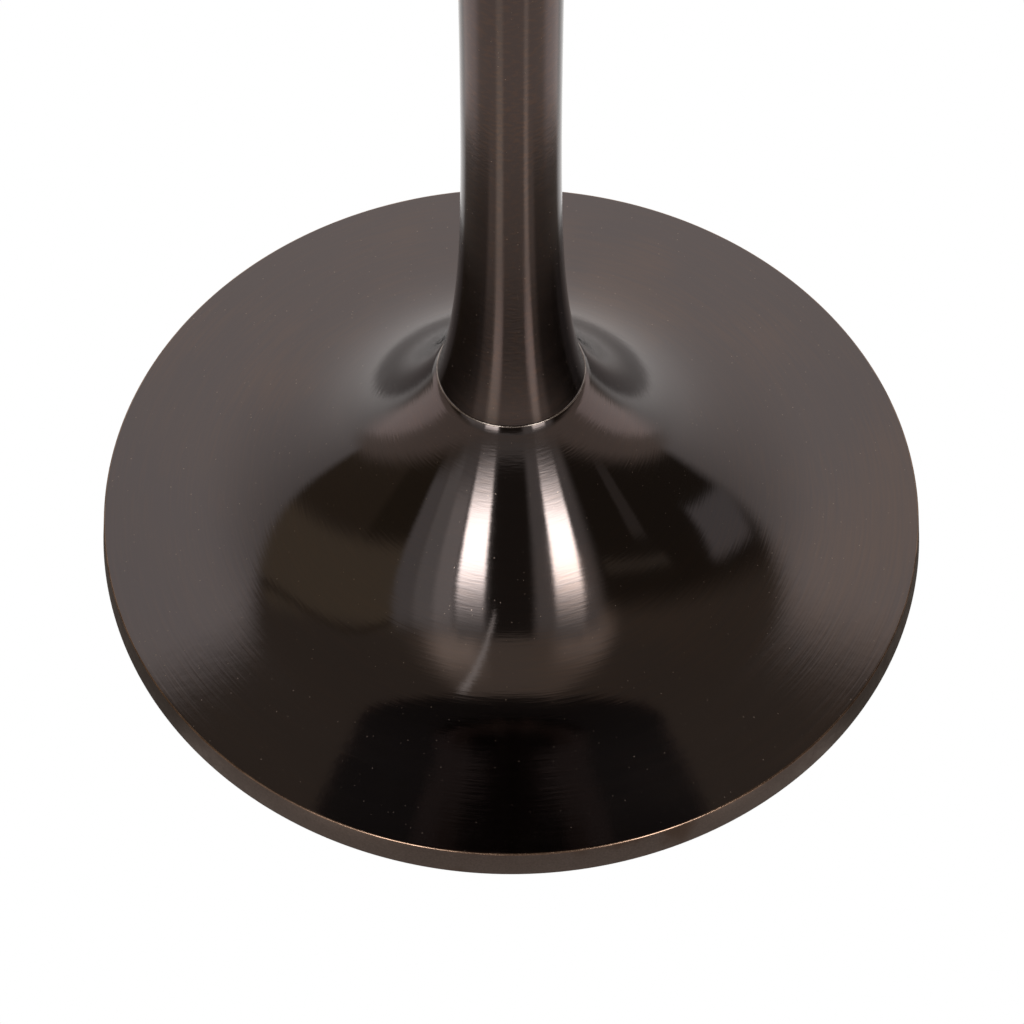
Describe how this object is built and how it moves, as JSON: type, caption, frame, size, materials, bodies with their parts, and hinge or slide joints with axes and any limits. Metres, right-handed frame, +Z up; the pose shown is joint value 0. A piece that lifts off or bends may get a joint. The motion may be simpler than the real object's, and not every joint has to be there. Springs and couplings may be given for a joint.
{
  "type": "round pedestal table",
  "caption": "Round table on a cast trumpet foot and a waisted column, clamped by one tie rod, with a flange under the top and levelling glides.",
  "frame": {"origin": "on the floor under the table's axis, at the bottom faces of the glides", "axes": "+Z up the column; +X to the right and +Y to the rear as seen from the front, with one glide in each quadrant"},
  "size_m": [0.4599, 0.46, 0.75],
  "materials": {
    "plated_casting": "black-nickel plated over copper, lathe-brushed",
    "plated_steel": "black-nickel plated over copper, brushed round",
    "raw_iron": "as cast, black primer",
    "black_steel": "black oxide",
    "zinc_steel": "zinc plated",
    "spring_steel": "oiled spring steel",
    "insert_brass": "turned",
    "fibreboard": "raw medium-density board",
    "black_laminate": "matt laminate",
    "pad_nylon": "moulded nylon"
  },
  "bodies": {
    "table": {"base_casting": "plated_casting", "ballast_ring": "raw_iron", "ballast_screws": "black_steel", "ballast_washers": "zinc_steel", "column_tube": "plated_steel", "lower_key_pin": "zinc_steel", "upper_key_pin": "zinc_steel", "tie_rod": "zinc_steel", "lower_washer": "zinc_steel", "lower_spring_washer": "spring_steel", "lower_nut": "zinc_steel", "upper_washer": "zinc_steel", "upper_spring_washer": "spring_steel", "upper_nut": "zinc_steel", "top_flange": "plated_casting", "flange_screws": "black_steel", "flange_washers": "zinc_steel", "threaded_inserts": "insert_brass", "top_core": "fibreboard", "underside_sheet": "black_laminate", "top_skin": "plated_steel"},
    "front_right_foot": {"front_right_pad": "pad_nylon"},
    "front_right_screw": {"front_right_stud": "zinc_steel"},
    "rear_right_foot": {"rear_right_pad": "pad_nylon"},
    "rear_right_screw": {"rear_right_stud": "zinc_steel"},
    "rear_left_foot": {"rear_left_pad": "pad_nylon"},
    "rear_left_screw": {"rear_left_stud": "zinc_steel"},
    "front_left_foot": {"front_left_pad": "pad_nylon"},
    "front_left_screw": {"front_left_stud": "zinc_steel"}
  },
  "joints": [
    {"name": "front_right_travel", "type": "slide", "parent": "table", "child": "front_right_foot", "axis": [0, 0, -1], "range_m": [-0.002, 0.004]},
    {"name": "front_right_turn", "type": "hinge", "parent": "front_right_foot", "child": "front_right_screw", "pos_m": [0.15415, -0.15415, 0.01], "axis": [0, 0, -1], "range_deg": [-720, 1440]},
    {"name": "rear_right_travel", "type": "slide", "parent": "table", "child": "rear_right_foot", "axis": [0, 0, -1], "range_m": [-0.002, 0.004]},
    {"name": "rear_right_turn", "type": "hinge", "parent": "rear_right_foot", "child": "rear_right_screw", "pos_m": [0.15415, 0.15415, 0.01], "axis": [0, 0, -1], "range_deg": [-720, 1440]},
    {"name": "rear_left_travel", "type": "slide", "parent": "table", "child": "rear_left_foot", "axis": [0, 0, -1], "range_m": [-0.002, 0.004]},
    {"name": "rear_left_turn", "type": "hinge", "parent": "rear_left_foot", "child": "rear_left_screw", "pos_m": [-0.15415, 0.15415, 0.01], "axis": [0, 0, -1], "range_deg": [-720, 1440]},
    {"name": "front_left_travel", "type": "slide", "parent": "table", "child": "front_left_foot", "axis": [0, 0, -1], "range_m": [-0.002, 0.004]},
    {"name": "front_left_turn", "type": "hinge", "parent": "front_left_foot", "child": "front_left_screw", "pos_m": [-0.15415, -0.15415, 0.01], "axis": [0, 0, -1], "range_deg": [-720, 1440]}
  ],
  "couplings": [
    {"joint": "front_right_turn", "follows": "front_right_travel", "rad_per_m": 6283.2},
    {"joint": "rear_right_turn", "follows": "rear_right_travel", "rad_per_m": 6283.2},
    {"joint": "rear_left_turn", "follows": "rear_left_travel", "rad_per_m": 6283.2},
    {"joint": "front_left_turn", "follows": "front_left_travel", "rad_per_m": 6283.2}
  ]
}
